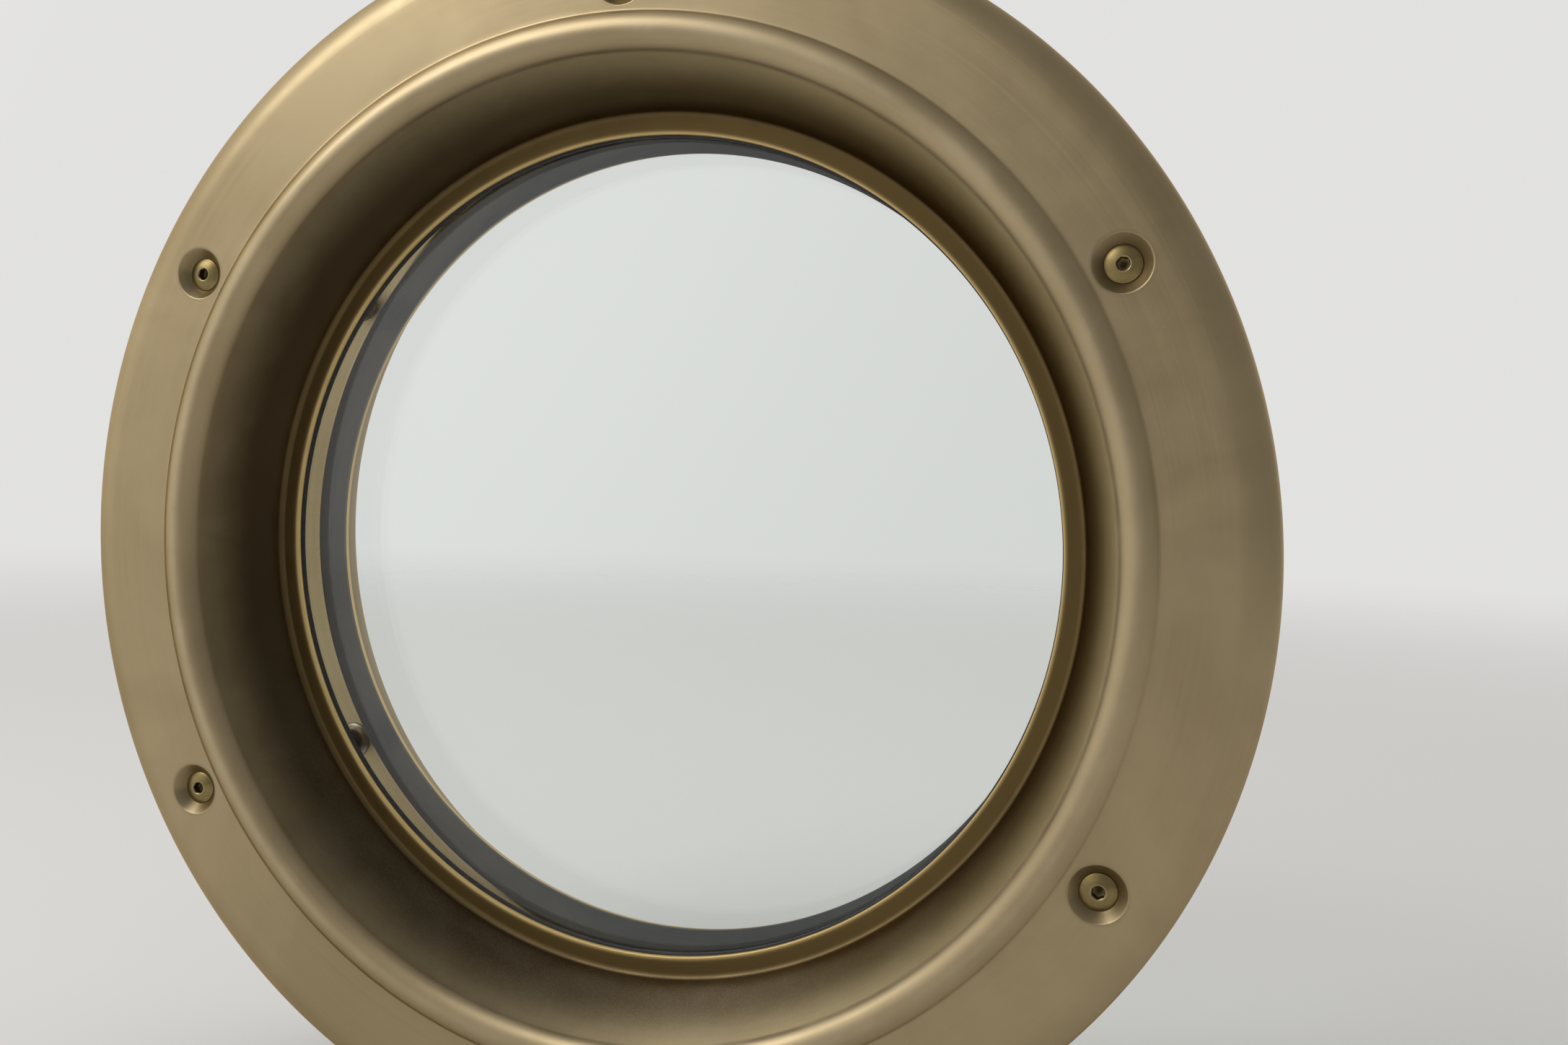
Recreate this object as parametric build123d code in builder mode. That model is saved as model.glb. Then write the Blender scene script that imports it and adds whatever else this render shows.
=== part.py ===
import os
from math import asin, atan2, degrees, sqrt

from build123d import *

# Porthole window for a door leaf: two spun steel rings clamp a sealed glass unit
# between them, and screws through the ring on the room side pull on barrels that
# are welded to the back of the other ring.
# X is to the right, Y goes into the leaf and away from the room, Z is up.
# The origin is on the axis of the rings, half way through the leaf.

# Door leaf that the rings clamp
leaf_thickness = 76.0

# Spun steel rings, both with the same section, measured inwards from the outer edge
ring_radius = 175.0
bolt_inset = 19.5  # circle of the screws
groove_inset = 28.5  # groove between the flat band and the bead round the opening
aperture_inset = 55.0  # clear view
sheet = 2.0
foot_bend = 1.0  # inside radius of the tight bend above the foot
foot_turn = 40.0  # degrees that this bend turns through
shoulder_bend = 10.0  # inside radius of the wide bend next to it
bead_bend = 4.5  # inside radius of the bead
bead_rise = 2.1  # crest of the bead above the groove
seat_width = 6.0  # flat edge of the sheet that presses on the glass
seat_bend = 2.0  # inside radius between the cone and this edge

# Sealed glass unit
pane_thickness = 4.0
cavity = 16.0
pane_arris = 0.5  # ground edge of a pane
sealant_depth = 6.0
sealant_hollow = 0.6  # tooled surface of the sealant, below the edge of the glass
spacer_height = 6.5
spacer_wall = 0.5
spacer_corner = 2.2  # slope on the back of the spacer, which the sealant grips
spacer_gap = 0.3  # butt joint of the spacer, at the top
butyl_thickness = 0.3
butyl_width = 3.2
key_length = 46.0  # connector inside the butt joint
key_play = 0.15
desiccant_play = 0.3

# Gaskets
gasket_thickness = 1.5
gasket_lip = 0.5  # the gasket shows this far inside the edge of the sheet
gasket_margin = 3.0  # and goes this far out past the seat
gasket_round = 0.4
seal_inset = 4.5  # foam in the hollow of each ring, pressed on the leaf
seal_width = 5.0
seal_play = 0.1  # between the foam and the back of the sheet

# Screws, dimples and threaded barrels
screw_count = 6
first_screw = 90.0  # degrees, so one screw is at the top
screw_radius = 2.5
screw_play = 0.25  # in the hole at the bottom of the dimple
thread_play = 0.05
thread_grip = 17.0
thread_runout = 8.0  # bore beyond the tip of the screw
tip_chamfer = 0.8
head_step = 2.5  # head outside the shank
head_dome = 1.2
socket_flats = 3.0
socket_depth = 2.6
dimple_step = 2.5  # dimple outside the head
dimple_lip = 1.0  # short straight wall of the hole
barrel_wall = 1.95
barrel_overhang = 1.0  # past the sleeve
weld_leg = 2.0
sleeve_wall = 3.0
sleeve_play = 0.2  # between a sleeve and the edge of the glass
sleeve_overhang = 1.0  # past each face of the glass unit

# Radii of the ring and the glass
bolt_radius = ring_radius - bolt_inset
groove_radius = ring_radius - groove_inset
aperture_radius = ring_radius - aperture_inset
barrel_radius = screw_radius + thread_play + barrel_wall
glass_radius = bolt_radius - barrel_radius - sleeve_wall
spacer_outer = glass_radius - sealant_depth
spacer_inner = spacer_outer - spacer_height
butyl_outer = spacer_outer - spacer_corner

# Distances from the middle of the leaf
leaf_half = leaf_thickness / 2
cavity_half = cavity / 2
spacer_half = cavity_half - butyl_thickness
unit_half = cavity_half + pane_thickness
seat_half = unit_half + gasket_thickness
sleeve_half = unit_half + sleeve_overhang
barrel_mouth = sleeve_half + barrel_overhang
screw_tip = barrel_mouth - thread_grip

# The middle of the leaf and its two faces, each looking away from the leaf
middle = {"inner": Plane.XZ, "outer": Plane((0, 0, 0), x_dir=(-1, 0, 0), z_dir=(0, 1, 0))}
faces = {side: plane.offset(leaf_half) for side, plane in middle.items()}


def section_plane(face):
    """Plane through the axis of the rings, with radius to the right and height above the leaf upwards."""
    return Plane(face.origin, x_dir=face.x_dir, z_dir=-face.y_dir)


def turned_section(angle):
    """The same kind of plane through the middle of the leaf, at an angle from X towards Z."""
    return Plane.XY.rotated((0, -angle, 0))


def bolt_circle():
    return PolarLocations(bolt_radius, screw_count, start_angle=first_screw)


# Section of a ring: foot, shoulder, flat band, groove, bead, cone and seat.
# It is drawn along the side that shows, and the sheet lies to the left of this line.
with BuildSketch() as ring_section:
    with BuildLine():
        foot = JernArc((ring_radius, 0), (0, 1), foot_bend + sheet, foot_turn)
        shoulder = JernArc(foot @ 1, foot % 1, shoulder_bend + sheet, 90 - foot_turn)
        band = Line(shoulder @ 1, (groove_radius, (shoulder @ 1).Y))
        bead_radius = bead_bend + sheet
        bead_drop = bead_radius - bead_rise  # from the groove down to the centre of the bead
        bead_centre = band @ 1 - Vector(sqrt(bead_radius**2 - bead_drop**2), bead_drop)
        seat_corner = Vector(aperture_radius + seat_width, seat_half - leaf_half + sheet)
        to_bead = bead_centre - seat_corner
        cone_angle = degrees(atan2(to_bead.Y, to_bead.X) + asin(bead_radius / to_bead.length))
        bead_start = degrees(asin(bead_drop / bead_radius))
        bead = CenterArc(bead_centre, bead_radius, bead_start, cone_angle + 90 - bead_start)
        FilletPolyline(bead @ 1, seat_corner, (aperture_radius, seat_corner.Y), radius=seat_bend)
        offset(amount=sheet, side=Side.LEFT)
    make_face()
band_height = (band @ 0).Y


def spun_ring(side):
    with BuildPart() as ring:
        with BuildSketch(section_plane(faces[side])):
            add(ring_section.sketch)
        revolve(axis=Axis.Y)
    return ring.part


# Room side ring. Each screw has a dimple, a conical skin pressed in below the band.
head_radius = screw_radius + head_step
dimple_radius = head_radius + dimple_step
hole_radius = screw_radius + screw_play
dimple_floor = band_height - (dimple_radius - hole_radius) - dimple_lip
skin_top = dimple_radius - sheet / 2 + sheet * sqrt(2)  # outside of a 45 degree wall, half way into the sheet
skin_height = band_height - sheet / 2 - dimple_floor

with BuildPart() as inner_ring:
    add(spun_ring("inner"))
    with Locations(faces["inner"]), bolt_circle():
        with Locations((0, 0, dimple_floor + skin_height / 2)):
            Cone(skin_top - skin_height, skin_top, skin_height)
        with Locations((0, 0, band_height)):
            CounterSinkHole(hole_radius, dimple_radius, counter_sink_angle=90)
inner_ring.part.label = "inner_ring"

# Weather side ring, which shows no screws
with BuildPart() as outer_ring:
    add(spun_ring("outer"))
outer_ring.part.label = "outer_ring"

# Screw with a raised countersunk head and a hexagon socket, upright on its own axis.
# Its heights are from the middle of the leaf.
rim_height = leaf_half + band_height - dimple_step
crown_height = rim_height + head_dome
with BuildPart() as screw:
    with BuildSketch(Plane.XZ):
        with BuildLine():
            Polyline((0, crown_height), (0, screw_tip), (screw_radius - tip_chamfer, screw_tip),
                     (screw_radius, screw_tip + tip_chamfer), (screw_radius, rim_height - head_step),
                     (head_radius, rim_height))
            TangentArc((0, crown_height), (head_radius, rim_height), tangent=(1, 0))
        make_face()
    revolve(axis=Axis.Z)
    with BuildSketch(Plane.XY.offset(crown_height)):
        RegularPolygon(socket_flats / 2, 6, major_radius=False)
    extrude(amount=-socket_depth, mode=Mode.SUBTRACT)

with BuildPart() as screws:
    with Locations(Plane.XZ), bolt_circle():
        add(screw.part)
screws.part.label = "screws"

# Barrel with a blind thread, upright like the screw, with a weld round its closed end
barrel_root = -leaf_half - band_height + sheet / 2  # half way into the sheet, which trims it
with BuildPart() as barrel:
    with BuildSketch(Plane.XY.offset(barrel_root)):
        Circle(barrel_radius)
    extrude(amount=barrel_mouth - barrel_root)
    weld_height = weld_leg + sheet / 2
    with Locations((0, 0, barrel_root + weld_height / 2)):
        Cone(barrel_radius + weld_height, barrel_radius, weld_height)
    with Locations((0, 0, barrel_mouth)):
        Hole(screw_radius + thread_play, depth=thread_grip + thread_runout)

with BuildPart() as threaded_barrels:
    with Locations(Plane.XZ), bolt_circle():
        add(barrel.part)
    add(outer_ring.part, mode=Mode.SUBTRACT)
threaded_barrels.part.label = "threaded_barrels"

# Rubber sleeves keep the edge of the glass off the barrels
with BuildPart() as barrel_sleeves:
    with BuildSketch(Plane.XZ):
        with bolt_circle():
            Circle(barrel_radius + sleeve_wall - sleeve_play)
            Circle(barrel_radius, mode=Mode.SUBTRACT)
    extrude(amount=sleeve_half, both=True)
barrel_sleeves.part.label = "barrel_sleeves"

parts = [inner_ring.part, outer_ring.part, screws.part, threaded_barrels.part, barrel_sleeves.part]

# Foam fills part of the hollow of a ring: what the sheet leaves of a rectangle, below it
with BuildSketch() as seal_section:
    with Locations((ring_radius - seal_inset - seal_width / 2, 0)):
        Rectangle(seal_width, 2 * band_height)
    with Locations((0, -seal_play)):
        add(ring_section.sketch, mode=Mode.SUBTRACT)
    with Locations((ring_radius, -band_height)):
        Rectangle(2 * ring_radius, 2 * band_height, mode=Mode.SUBTRACT)
seal_face = seal_section.faces().sort_by(Axis.Y)[0]

# Pane, butyl bead, glazing gasket and foam seal, one of each on both sides
for side, face in faces.items():
    with BuildPart() as pane:
        with BuildSketch(middle[side].offset(cavity_half)):
            Circle(glass_radius)
        extrude(amount=pane_thickness)
        chamfer(pane.edges(), pane_arris)
    pane.part.label = f"{side}_pane"

    with BuildPart() as butyl:
        with BuildSketch(middle[side].offset(spacer_half)):
            Circle(butyl_outer)
            Circle(butyl_outer - butyl_width, mode=Mode.SUBTRACT)
        extrude(amount=butyl_thickness)
    butyl.part.label = f"{side}_butyl"

    with BuildPart() as gasket:
        with BuildSketch(middle[side].offset(unit_half)):
            Circle(aperture_radius + seat_width + gasket_margin)
            Circle(aperture_radius - gasket_lip, mode=Mode.SUBTRACT)
        extrude(amount=gasket_thickness)
        inner_edges = gasket.edges().filter_by(GeomType.CIRCLE).group_by(SortBy.RADIUS)[0]
        fillet(inner_edges.sort_by_distance(face.origin)[0], gasket_round)
    gasket.part.label = f"{side}_glazing_gasket"

    with BuildPart() as seal:
        with BuildSketch(section_plane(face)):
            add(seal_face)
        revolve(axis=Axis.Y)
    seal.part.label = f"{side}_leaf_seal"

    parts += [pane.part, butyl.part, gasket.part, seal.part]

# Hollow spacer, bent round from one length and closed by a key inside its butt joint
gap_angle = degrees(spacer_gap / spacer_outer)
key_angle = degrees(key_length / spacer_outer)
play_angle = degrees(desiccant_play / spacer_outer)
with BuildSketch() as spacer_outline:
    with BuildLine():
        Polyline((spacer_inner, -spacer_half), (butyl_outer, -spacer_half),
                 (spacer_outer, spacer_corner - spacer_half), (spacer_outer, spacer_half - spacer_corner),
                 (butyl_outer, spacer_half), (spacer_inner, spacer_half), close=True)
    make_face()


def spacer_hollow(play):
    """The hollow of the spacer, smaller by some play all round."""
    return offset(spacer_outline.sketch, -spacer_wall - play, kind=Kind.INTERSECTION, mode=Mode.PRIVATE)


with BuildPart() as spacer_frame:
    with BuildSketch(turned_section(90 - gap_angle / 2)):
        add(spacer_outline.sketch)
        add(spacer_hollow(0), mode=Mode.SUBTRACT)
    revolve(axis=Axis.Y, revolution_arc=360 - gap_angle)
spacer_frame.part.label = "spacer_frame"

with BuildPart() as spacer_key:
    with BuildSketch(turned_section(90 + key_angle / 2)):
        add(spacer_hollow(key_play))
    revolve(axis=Axis.Y, revolution_arc=key_angle)
spacer_key.part.label = "spacer_key"

with BuildPart() as desiccant:
    with BuildSketch(turned_section(90 - key_angle / 2 - play_angle)):
        add(spacer_hollow(desiccant_play))
    revolve(axis=Axis.Y, revolution_arc=360 - key_angle - 2 * play_angle)
desiccant.part.label = "desiccant"

# Sealant between the panes, behind the spacer, with its outer surface tooled hollow
sealant_edge = glass_radius - pane_arris
with BuildPart() as edge_sealant:
    with BuildSketch(Plane.XY):
        with BuildLine():
            Polyline((sealant_edge, -cavity_half), (butyl_outer, -cavity_half), (butyl_outer, -spacer_half),
                     (spacer_outer, spacer_corner - spacer_half), (spacer_outer, spacer_half - spacer_corner),
                     (butyl_outer, spacer_half), (butyl_outer, cavity_half), (sealant_edge, cavity_half))
            ThreePointArc((sealant_edge, -cavity_half), (sealant_edge - sealant_hollow, 0),
                          (sealant_edge, cavity_half))
        make_face()
    revolve(axis=Axis.Y)
edge_sealant.part.label = "edge_sealant"

parts += [spacer_frame.part, spacer_key.part, desiccant.part, edge_sealant.part]

os.makedirs("parts", exist_ok=True)
for part in parts:
    export_step(part, f"parts/{part.label}.step")
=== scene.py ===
import math

import bmesh
import bpy
import numpy as np
from mathutils import Matrix, Vector


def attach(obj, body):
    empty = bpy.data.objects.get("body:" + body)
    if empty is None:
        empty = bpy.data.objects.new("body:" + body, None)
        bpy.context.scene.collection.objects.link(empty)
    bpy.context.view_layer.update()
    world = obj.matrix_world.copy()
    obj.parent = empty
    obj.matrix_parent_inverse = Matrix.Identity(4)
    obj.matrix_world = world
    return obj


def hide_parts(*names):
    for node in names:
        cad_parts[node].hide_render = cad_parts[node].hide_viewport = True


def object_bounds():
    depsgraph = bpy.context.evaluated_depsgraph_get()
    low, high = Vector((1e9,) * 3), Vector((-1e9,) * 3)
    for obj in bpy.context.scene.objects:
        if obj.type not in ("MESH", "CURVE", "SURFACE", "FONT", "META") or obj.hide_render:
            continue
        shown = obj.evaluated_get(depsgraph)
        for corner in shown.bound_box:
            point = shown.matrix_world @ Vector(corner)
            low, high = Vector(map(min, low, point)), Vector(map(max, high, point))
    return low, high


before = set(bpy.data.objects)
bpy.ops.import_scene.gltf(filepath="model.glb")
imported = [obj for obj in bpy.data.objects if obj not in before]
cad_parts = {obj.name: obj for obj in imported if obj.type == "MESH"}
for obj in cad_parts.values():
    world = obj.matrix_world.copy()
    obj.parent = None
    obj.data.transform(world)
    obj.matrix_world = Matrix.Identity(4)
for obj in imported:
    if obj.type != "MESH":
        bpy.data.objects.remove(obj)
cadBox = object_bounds()
mm = 0.001
turn = 2 * math.pi
mergeWithin = 0.002  # millimetres
print("frame loaded:", len(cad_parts), "nodes")


# Sizes that are read from the frame, in millimetres. The axis of the window is Y.
def reach(node):
    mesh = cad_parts[node].data
    flat = np.empty(len(mesh.vertices) * 3, np.float32)
    mesh.vertices.foreach_get("co", flat)
    place = flat.reshape(-1, 3).astype(float) / mm
    radius = np.hypot(place[:, 0], place[:, 2])
    return {"in": radius.min(), "out": radius.max(), "low": -place[:, 1].max(), "high": -place[:, 1].min(),
            "near": np.abs(place[:, 1]).min(), "far": np.abs(place[:, 1]).max()}


ringReach = reach("inner_ring")
paneReach = reach("inner_pane")
gasketReach = reach("inner_glazing_gasket")
sealReach = reach("inner_leaf_seal")
screwReach = reach("screws")
barrelReach = reach("threaded_barrels")
sleeveReach = reach("barrel_sleeves")
butylReach = reach("inner_butyl")
spacerReach = reach("spacer_frame")
sealantReach = reach("edge_sealant")
leafHalf = sealReach["near"]
boltRadius = (screwReach["in"] + screwReach["out"]) / 2
screwCount = 6
boltAngles = turn / 4 + turn * np.arange(screwCount) / screwCount


# Camera

camera = {
    "place": (0.1639, -0.4048, 0.0289),
    "look": (-0.2997, 0.9529, -0.0471),
    "up": (-0.0419, 0.0362, 0.9985),
    "lens": 33.13,
    "sensor": 36.0,
}


def makeCamera():
    data = bpy.data.cameras.new("camera")
    data.lens = camera["lens"]
    data.sensor_width = camera["sensor"]
    data.clip_start = 0.01
    shot = bpy.data.objects.new("camera", data)
    bpy.context.scene.collection.objects.link(shot)
    look = Vector(camera["look"]).normalized()
    right = look.cross(Vector(camera["up"])).normalized()
    up = right.cross(look)
    turned = Matrix((right, up, -look)).transposed().to_4x4()
    shot.matrix_world = Matrix.Translation(Vector(camera["place"])) @ turned
    bpy.context.scene.camera = shot


makeCamera()
print("camera made")


# Shapes. Lengths in them are millimetres, and heights are measured from the middle of the leaf.

# A polyline with round corners. A corner is left radius * tan(bend / 2) before it and joined after it
# by an arc of that radius. Short guard steps beside each arc keep the shading of the long sides flat.
def roundedPath(corners, radii, closed=False, steps=5, guard=0.12):
    corners = np.asarray(corners, float)
    count = len(corners)
    path = []
    for i in range(count):
        here, before, after = corners[i], corners[i - 1], corners[(i + 1) % count]
        if not closed and i in (0, count - 1):
            path.append(here[None])
            continue
        into, out = here - before, after - here
        into, out = into / np.linalg.norm(into), out / np.linalg.norm(out)
        bend = math.acos(np.clip(into @ out, -1, 1))
        across = out - into * (into @ out)
        across /= np.linalg.norm(across)
        radius = radii[i] if closed else radii[i - 1]
        start = here - into * radius * math.tan(bend / 2)
        a = np.linspace(0, bend, steps)[:, None]
        arc = start + across * radius + radius * (into * np.sin(a) - across * np.cos(a))
        path += [(start - into * guard)[None], arc, (arc[-1] + out * guard)[None]]
    return np.concatenate(path)


def heading(angle):
    return np.array([math.cos(angle), math.sin(angle)])


# Points radius * (cos a, sin a) round a centre
def arcPath(centre, radius, start, end, count):
    a = np.linspace(start, end, count)
    return np.asarray(centre) + radius * np.stack([np.cos(a), np.sin(a)], 1)


def linePath(start, end, count):
    share = np.linspace(0, 1, count)[:, None]
    return np.asarray(start) * (1 - share) + np.asarray(end) * share


# The corner where a side that runs along into meets one that runs along out, square to it
def cornerPath(corner, into, out, radius, count=4):
    into, out = np.asarray(into, float), np.asarray(out, float)
    a = np.linspace(0, turn / 4, count)[:, None]
    return np.asarray(corner) + radius * (out - into) + radius * (into * np.sin(a) - out * np.cos(a))


# A convex outline moved inwards. Each corner moves along the sum of the inward normals of its two sides.
def shrunk(corners, amount):
    corners = np.asarray(corners, float)
    side = np.roll(corners, -1, 0) - corners
    side /= np.linalg.norm(side, axis=1)[:, None]
    inward = np.stack([-side[:, 1], side[:, 0]], 1)
    if ((corners.mean(0) - corners) * inward).sum() < 0:
        inward = -inward
    before = np.roll(inward, 1, 0)
    return corners + amount * (inward + before) / (1 + (inward * before).sum(1))[:, None]


# Points at a radius and a height round the axis: x = radius cos a, z = radius sin a, y = height times side
def aroundAxis(radius, height, angle, side):
    radius, height, angle = np.broadcast_arrays(radius, height, angle)
    return np.stack([radius * np.cos(angle), side * height, radius * np.sin(angle)], -1)


# Angles in equal steps round a full turn
def roundAngles(count):
    return turn * np.arange(count) / count


# A smooth wandering value from -1 to 1 over the whole turn: sines of 1, 2, 3... waves with falling height
def wander(angle, seed, waves, fall):
    dice = np.random.default_rng(seed)
    height = sum(np.sin(k * angle + dice.uniform(0, turn)) / k**fall for k in range(1, waves + 1))
    return height / np.abs(height).max()


# The same from 0 to 1, for an edge that only gives way to one side
def bite(angle, seed, waves, fall):
    return (1 + wander(angle, seed, waves, fall)) / 2


def smooth(value, low, high):
    t = np.clip((value - low) / (high - low), 0, 1)
    return t * t * (3 - 2 * t)


# Corner numbers of each cell in a grid of points
def cellsOf(rows, columns, closedRows, closedColumns):
    r = np.arange(rows if closedRows else rows - 1)[:, None]
    c = np.arange(columns if closedColumns else columns - 1)[None]
    below, right = (r + 1) % rows, (c + 1) % columns
    return np.stack([r * columns + c, r * columns + right, below * columns + right, below * columns + c], -1)


# Rows of (radius, height) as two arrays. Each value is one number, or a number for every direction.
def rowArrays(rows, count):
    return [np.array([np.broadcast_to(row[i], count) for row in rows]) for i in (0, 1)]


# One piece from its grids. Each grid has its points, and may have own, the same points seen from the
# axis of a screw or barrel, and keep, the cells that are used. Points closer than mergeWithin are merged.
def makePiece(name, grids, material, replaced):
    points, owns, faces, first = [], [], [], 0
    for grid in grids:
        p = grid["points"]
        cells = cellsOf(*p.shape[:2], grid.get("closedRows", False), grid.get("closedColumns", True))
        used = cells[grid["keep"]] if "keep" in grid else cells.reshape(-1, 4)
        faces.append(used + first)
        points.append(p.reshape(-1, 3))
        owns.append(grid.get("own", p).reshape(-1, 3))
        first += p.shape[0] * p.shape[1]
    mesh = bpy.data.meshes.new(name)
    mesh.from_pydata((np.concatenate(points) * mm).tolist(), [], np.concatenate(faces).tolist())
    if any("own" in grid for grid in grids):
        layer = mesh.attributes.new("own", "FLOAT_VECTOR", "POINT")
        layer.data.foreach_set("vector", (np.concatenate(owns) * mm).ravel())
    shell = bmesh.new()
    shell.from_mesh(mesh)
    bmesh.ops.remove_doubles(shell, verts=shell.verts, dist=mergeWithin * mm)
    loose = [v for v in shell.verts if not v.link_faces]
    bmesh.ops.delete(shell, geom=loose, context="VERTS")
    bmesh.ops.recalc_face_normals(shell, faces=shell.faces)
    shell.to_mesh(mesh)
    openEdges = sum(not e.is_manifold for e in shell.edges)
    shell.free()
    mesh.polygons.foreach_set("use_smooth", np.ones(len(mesh.polygons), bool))
    mesh.materials.append(material)
    piece = bpy.data.objects.new(name, mesh)
    bpy.context.scene.collection.objects.link(piece)
    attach(piece, "root")
    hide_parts(replaced)
    corners = len(mesh.loops) - 2 * len(mesh.polygons)
    print(name, "has", corners, "triangles and", openEdges, "open edges")


# Shader nodes

def link(value, socket):
    socket.id_data.links.new(value, socket)


# A new node. What goes into its sockets are outputs of other nodes, which give its tree, or plain values.
def add(kind, into, **settings):
    tree = next(value.id_data for value in into.values() if isinstance(value, bpy.types.NodeSocket))
    made = tree.nodes.new("ShaderNode" + kind)
    for key, value in settings.items():
        setattr(made, key, value)
    for key, value in into.items():
        if isinstance(value, bpy.types.NodeSocket):
            link(value, made.inputs[key])
        else:
            made.inputs[key].default_value = value
    return made


def maths(operation, *values):
    return add("Math", dict(enumerate(values)), operation=operation).outputs[0]


def total(first, *others):
    for value in others:
        first = maths("ADD", first, value)
    return first


def product(first, *others):
    for value in others:
        first = maths("MULTIPLY", first, value)
    return first


def mixColours(share, first, second):
    return add("Mix", {0: share, 6: first, 7: second}, data_type="RGBA").outputs[2]


def spanned(value, low, high, lowOut=0.0, highOut=1.0, kind="LINEAR"):
    into = {"Value": value, "From Min": low, "From Max": high, "To Min": lowOut, "To Max": highOut}
    return add("MapRange", into, interpolation_type=kind).outputs[0]


# A noise spread from low to high. Nearly all its own values lie between 0.3 and 0.7.
def varied(noise, low, high):
    return spanned(noise, 0.3, 0.7, low, high)


def separated(value):
    return add("SeparateXYZ", {0: value}).outputs


def noiseAt(place, scale, detail, **more):
    into = {"Vector": place, "Scale": scale, "Detail": detail, **more}
    return add("TexNoise", into).outputs[0]


def makeGroup(name, inputs, outputs):
    group = bpy.data.node_groups.new(name, "ShaderNodeTree")
    for label, value in inputs.items():
        kind = "NodeSocketVector" if value is None else "NodeSocketFloat"
        socket = group.interface.new_socket(label, in_out="INPUT", socket_type=kind)
        if value is not None:
            socket.default_value = value
    for label in outputs:
        group.interface.new_socket(label, in_out="OUTPUT", socket_type="NodeSocketFloat")
    source = group.nodes.new("NodeGroupInput").outputs
    target = group.nodes.new("NodeGroupOutput").inputs
    return group, source, target


def rootOfSquares(first, second):
    return maths("SQRT", total(product(first, first), product(second, second)))


# Distance from the axis in millimetres
def axisRadius(split):
    return maths("DIVIDE", rootOfSquares(split[0], split[2]), mm)


# Fine lines left by turning or spinning, constant round the axis: noise read at (radius, height)
# divided by the pitch, with a slow change along each line
def makeTurnedLines():
    group, source, target = makeGroup("turnedLines", {"Place": None, "Pitch": 0.5, "Change": 1.5}, ["Lines"])
    split = separated(source["Place"])
    radius = maths("MAXIMUM", rootOfSquares(split[0], split[2]), 0.01 * mm)
    pitch = product(source["Pitch"], mm)
    across = maths("DIVIDE", radius, pitch)
    along = maths("DIVIDE", split[1], pitch)
    cosine, sine = (product(maths("DIVIDE", split[axis], radius), source["Change"]) for axis in (0, 2))
    where = add("CombineXYZ", {0: across, 1: along, 2: cosine}).outputs[0]
    into = {"Vector": where, "W": sine, "Scale": 1.0, "Detail": 3.0, "Roughness": 0.6}
    noise = add("TexNoise", into, noise_dimensions="4D")
    link(noise.outputs[0], target["Lines"])
    return group


# Soft clouds, as hands and cleaning leave on a surface. Size is about their width in millimetres.
def makeHandling():
    group, source, target = makeGroup("handling", {"Place": None, "Size": 40.0, "Sharpness": 1.0}, ["Cloud"])
    scale = maths("DIVIDE", 1 / mm, source["Size"])
    noise = noiseAt(source["Place"], scale, 5.0, Roughness=0.55, Distortion=0.6)
    contrast = product(maths("SUBTRACT", noise, 0.5), product(source["Sharpness"], 2.2))
    link(total(contrast, 0.5), target["Cloud"])
    return group


# Dust that lies on what faces upwards: specks of noise that grow denser as the surface turns level
def makeDust():
    group, source, target = makeGroup("settledDust", {"Place": None, "Facing": None, "Amount": 0.5}, ["Dust"])
    level = spanned(separated(source["Facing"])[2], 0.15, 0.95)
    speck = spanned(noiseAt(source["Place"], 2600.0, 2.0), 0.45, 0.75)  # about 0.4 mm apart
    film = spanned(noiseAt(source["Place"], 60.0, 3.0), 0.35, 0.7)  # about 17 mm apart
    both = total(speck, product(film, 0.5))
    link(product(both, level, source["Amount"]), target["Dust"])
    return group


# Grain of moulded rubber, foam and sealant: round cells mixed with a noise about three times as wide
def makeGrain():
    inputs = {"Place": None, "Size": 0.4, "Roundness": 0.7}
    group, source, target = makeGroup("grain", inputs, ["Height", "Shade"])
    scale = maths("DIVIDE", 1 / mm, source["Size"])
    cells = add("TexVoronoi", {"Vector": source["Place"], "Scale": scale, "Randomness": 1.0})
    noise = noiseAt(source["Place"], product(scale, 0.35), 4.0)
    into = {0: source["Roundness"], 2: noise, 3: cells.outputs["Distance"]}
    link(add("Mix", into, data_type="FLOAT").outputs[0], target["Height"])
    link(noise, target["Shade"])
    return group


# A rubbed or shaded band at one distance from the axis: exp(-((radius - middle) / width) squared)
def makeBandMask():
    group, source, target = makeGroup("bandMask", {"Place": None, "Middle": 100.0, "Width": 1.0}, ["Band"])
    radius = axisRadius(separated(source["Place"]))
    off = maths("DIVIDE", maths("SUBTRACT", radius, source["Middle"]), source["Width"])
    link(maths("EXPONENT", product(off, off, -1.0)), target["Band"])
    return group


# Distance in millimetres from the nearest screw's axis. The angle is folded into one sixth of a turn, and
# then distance squared = radius squared + bolt radius squared - 2 * radius * bolt radius * cos(folded)
def makeScrewDistance():
    group, source, target = makeGroup("screwDistance", {"Place": None}, ["Distance"])
    split = separated(source["Place"])
    radius = axisRadius(split)
    sixths = maths("DIVIDE", maths("ARCTAN2", split[2], split[0]), turn / screwCount)
    whole = total(sixths, 2.0 * screwCount)  # two turns more, so that it is never negative
    folded = maths("SUBTRACT", maths("FRACT", whole), 0.5)
    cosine = maths("COSINE", product(folded, turn / screwCount))
    squares = total(product(radius, radius), boltRadius**2)
    both = product(radius, cosine, 2 * boltRadius)
    apart = maths("SQRT", maths("MAXIMUM", maths("SUBTRACT", squares, both), 0.0))
    link(apart, target["Distance"])
    return group


turnedLines = makeTurnedLines()
handling = makeHandling()
settledDust = makeDust()
grain = makeGrain()
bandMask = makeBandMask()
screwDistance = makeScrewDistance()


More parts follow.
